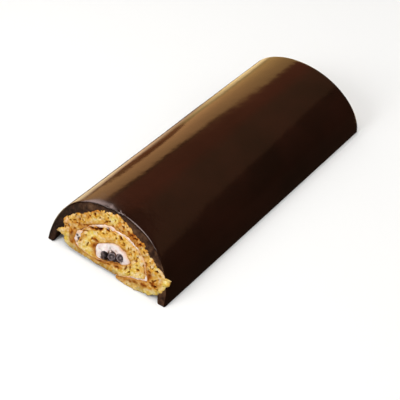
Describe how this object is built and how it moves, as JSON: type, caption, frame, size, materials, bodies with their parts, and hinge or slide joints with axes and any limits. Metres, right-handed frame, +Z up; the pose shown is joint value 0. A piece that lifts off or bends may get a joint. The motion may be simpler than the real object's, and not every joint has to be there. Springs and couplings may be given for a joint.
{
  "type": "swiss roll cake",
  "caption": "Long chocolate-glazed swiss roll: sponge coiled round a cream core with berries, a cream line between its turns, both ends cut.",
  "frame": {"origin": "middle of the base, on the surface the roll stands on", "axes": "+Z up, +Y along the roll from the cut that leans back to the upright cut, +X across it"},
  "size_m": [0.114, 0.2594, 0.0475],
  "materials": {
    "chocolate": "glossy set chocolate glaze, porous where cut",
    "sponge": "open yellow sponge crumb with a thin brown crust",
    "cream": "soft whipped cream",
    "berry": "dark blue berry skin with a dull bloom"
  },
  "bodies": {
    "root": {"glaze": "chocolate", "sponge": "sponge", "cream": "cream", "berry_near_1": "berry", "berry_near_2": "berry", "berry_near_3": "berry", "berry_far_1": "berry", "berry_far_2": "berry", "berry_far_3": "berry"}
  },
  "joints": []
}
